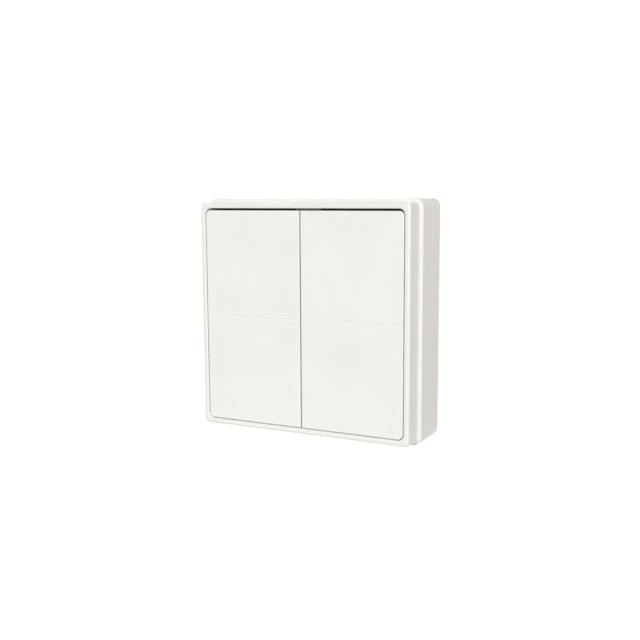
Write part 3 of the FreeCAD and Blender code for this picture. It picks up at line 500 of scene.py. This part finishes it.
def make_radio_solder(tree):
    # The radio board is soldered down its two upright sides
    points = side_points("radio_board", LEFT_AND_RIGHT, RADIO_PADS_A_SIDE, RADIO_PAD_PITCH)
    sizes = {"Half Length": 0.4 * MM, "Half Width": 0.36 * MM, "Height": 0.7 * MM}
    grow("radio_solder", tree, points, sizes, "tinned_steel")


def make_small_part_solder(tree):
    # The crystal and the status light are soldered at their ends
    points = side_points("crystal", LEFT_AND_RIGHT) + side_points("status_led", LEFT_AND_RIGHT)
    sizes = {"Half Length": 0.4 * MM, "Half Width": 0.6 * MM, "Height": 0.35 * MM}
    grow("small_part_solder", tree, points, sizes, "tinned_steel")


def make_antenna(tree):
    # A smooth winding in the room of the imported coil
    low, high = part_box("antenna_coil")
    middle = tuple((low + high) / 2)
    sizes = {"Length": high.x - low.x - ANTENNA_WIRE,
             "Radius": (high.z - low.z - ANTENNA_WIRE) / 2,
             "Wire": ANTENNA_WIRE, "Turns": ANTENNA_TURNS}
    coil = grow("antenna_winding", tree, [(middle, UNTURNED)], sizes, "copper_wire")
    for face in coil.data.polygons:
        face.use_smooth = True
    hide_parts("antenna_coil")


leg_tree = gull_wing_tree()
make_tact_legs(leg_tree)
make_chip_legs(leg_tree)
bead_tree = solder_bead_tree()
make_radio_solder(bead_tree)
make_small_part_solder(bead_tree)
make_antenna(wound_wire_tree())


# Studio: a white floor with a faint shadow, an even surround and three soft lights

FLOOR_HALF = 3.0
FLOOR_GREY = (0.4, 0.4, 0.4)
FLOOR_LIFT = 0.3
FLOOR_GLOW = 1.09
SHADOW_SHARE = 0.09
SURROUND_GLOW = 1.06
PLAIN = (1.0, 1.0, 1.0)
COOL = (0.92, 0.955, 1.0)
WARM = (1.0, 0.965, 0.94)
FAINTLY_WARM = (1.0, 0.98, 0.96)
SURROUND_WARM = (1.0, 0.957, 0.93)

IMAGE_PIXELS = 640
FOCAL_PIXELS = 902.2
SENSOR_MM = 36.0
# Angles in radians, and the camera's place from the middle of the frame's front face
CAMERA_YAW = -0.47
CAMERA_PITCH = 0.137
CAMERA_ROLL = 0.005
CAMERA_RIGHT = 0.15045
CAMERA_AWAY = 0.2806
CAMERA_UP = 0.04398
CLOSEST_SEEN = 0.01


def seen_directly(tree):
    # One for camera, glossy and transmission rays, nought for the light that bounces
    path = tree.nodes.new("ShaderNodeLightPath")
    total = path.outputs["Is Camera Ray"]
    for name in ("Is Glossy Ray", "Is Transmission Ray"):
        largest = tree.nodes.new("ShaderNodeMath")
        largest.operation = "MAXIMUM"
        tree.links.new(total, largest.inputs[0])
        tree.links.new(path.outputs[name], largest.inputs[1])
        total = largest.outputs["Value"]
    return total


def light_from(tree, kind, strength, tint=PLAIN):
    node = tree.nodes.new(kind)
    node.inputs["Color"].default_value = (*tint, 1.0)
    node.inputs["Strength"].default_value = strength
    return node.outputs[0]


def mixed(tree, factor, first, second):
    node = tree.nodes.new("ShaderNodeMixShader")
    if isinstance(factor, float):
        node.inputs["Fac"].default_value = factor
    else:
        tree.links.new(factor, node.inputs["Fac"])
    tree.links.new(first, node.inputs[1])
    tree.links.new(second, node.inputs[2])
    return node.outputs["Shader"]


def studio_floor_white():
    # Bouncing light meets a lifted grey. The camera sees white with a little of the shadow.
    material = bpy.data.materials.new("studio_floor_white")
    material.use_nodes = True
    tree = material.node_tree
    tree.nodes.clear()
    matte = tree.nodes.new("ShaderNodeBsdfDiffuse")
    matte.inputs["Color"].default_value = (*FLOOR_GREY, 1.0)
    lifted = tree.nodes.new("ShaderNodeAddShader")
    tree.links.new(matte.outputs["BSDF"], lifted.inputs[0])
    tree.links.new(light_from(tree, "ShaderNodeEmission", FLOOR_LIFT), lifted.inputs[1])
    white = light_from(tree, "ShaderNodeEmission", FLOOR_GLOW)
    shown = mixed(tree, SHADOW_SHARE, white, matte.outputs["BSDF"])
    either = mixed(tree, seen_directly(tree), lifted.outputs["Shader"], shown)
    out = tree.nodes.new("ShaderNodeOutputMaterial")
    tree.links.new(either, out.inputs["Surface"])
    return material


def make_floor():
    low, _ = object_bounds()
    corners = [(x * FLOOR_HALF, y * FLOOR_HALF, low[2])
               for x, y in ((-1, -1), (1, -1), (1, 1), (-1, 1))]
    mesh = bpy.data.meshes.new("studio_floor")
    mesh.from_pydata(corners, [], [(0, 1, 2, 3)])
    mesh.materials.append(studio_floor_white())
    floor = bpy.data.objects.new("studio_floor", mesh)
    bpy.context.scene.collection.objects.link(floor)


def make_world(strength, tint):
    # Soft light on the switch, and white wherever the surround itself is seen
    world = bpy.data.worlds.new("studio_surround")
    world.use_nodes = True
    tree = world.node_tree
    tree.nodes.clear()
    soft = light_from(tree, "ShaderNodeBackground", strength, tint)
    white = light_from(tree, "ShaderNodeBackground", SURROUND_GLOW)
    out = tree.nodes.new("ShaderNodeOutputWorld")
    tree.links.new(mixed(tree, seen_directly(tree), soft, white), out.inputs["Surface"])
    bpy.context.scene.world = world


def make_sun(name, comes_from, strength, spread, tint):
    # A lamp in the direction given, as soft as its spread in degrees
    lamp = bpy.data.lights.new(name, "SUN")
    lamp.color = tint
    lamp.energy = strength
    lamp.angle = math.radians(spread)
    sun = bpy.data.objects.new(name, lamp)
    sun.rotation_euler = Vector(comes_from).to_track_quat("Z", "Y").to_euler()
    bpy.context.scene.collection.objects.link(sun)


def make_camera():
    # The photograph's view
    low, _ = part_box("front_frame")
    camera = bpy.data.cameras.new("photo_view")
    camera.sensor_width = SENSOR_MM
    camera.lens = FOCAL_PIXELS * SENSOR_MM / IMAGE_PIXELS
    camera.clip_start = CLOSEST_SEEN
    forward = Vector((math.sin(CAMERA_YAW) * math.cos(CAMERA_PITCH),
                      math.cos(CAMERA_YAW) * math.cos(CAMERA_PITCH),
                      -math.sin(CAMERA_PITCH)))
    right = forward.cross(Vector((0.0, 0.0, 1.0))).normalized()
    down = forward.cross(right)
    across = right * math.cos(CAMERA_ROLL) + down * math.sin(CAMERA_ROLL)
    up = across.cross(forward)
    turn = Matrix((across, up, -forward)).transposed()
    place = Vector((CAMERA_RIGHT, low[1] - CAMERA_AWAY, CAMERA_UP))
    view = bpy.data.objects.new("photo_view", camera)
    view.matrix_world = Matrix.Translation(place) @ turn.to_4x4()
    bpy.context.scene.collection.objects.link(view)
    bpy.context.scene.camera = view


make_floor()
make_world(strength=0.235, tint=SURROUND_WARM)
make_sun("key_light", comes_from=(0.0, -0.62, 0.42), strength=1.525, spread=18.0, tint=COOL)
make_sun("side_light", comes_from=(0.8, -0.6, 0.15), strength=1.315, spread=22.0, tint=WARM)
make_sun("back_light", comes_from=(-0.45, 0.9, 0.08), strength=0.85, spread=20.0,
         tint=FAINTLY_WARM)
make_camera()
bpy.context.scene.view_settings.view_transform = "Standard"
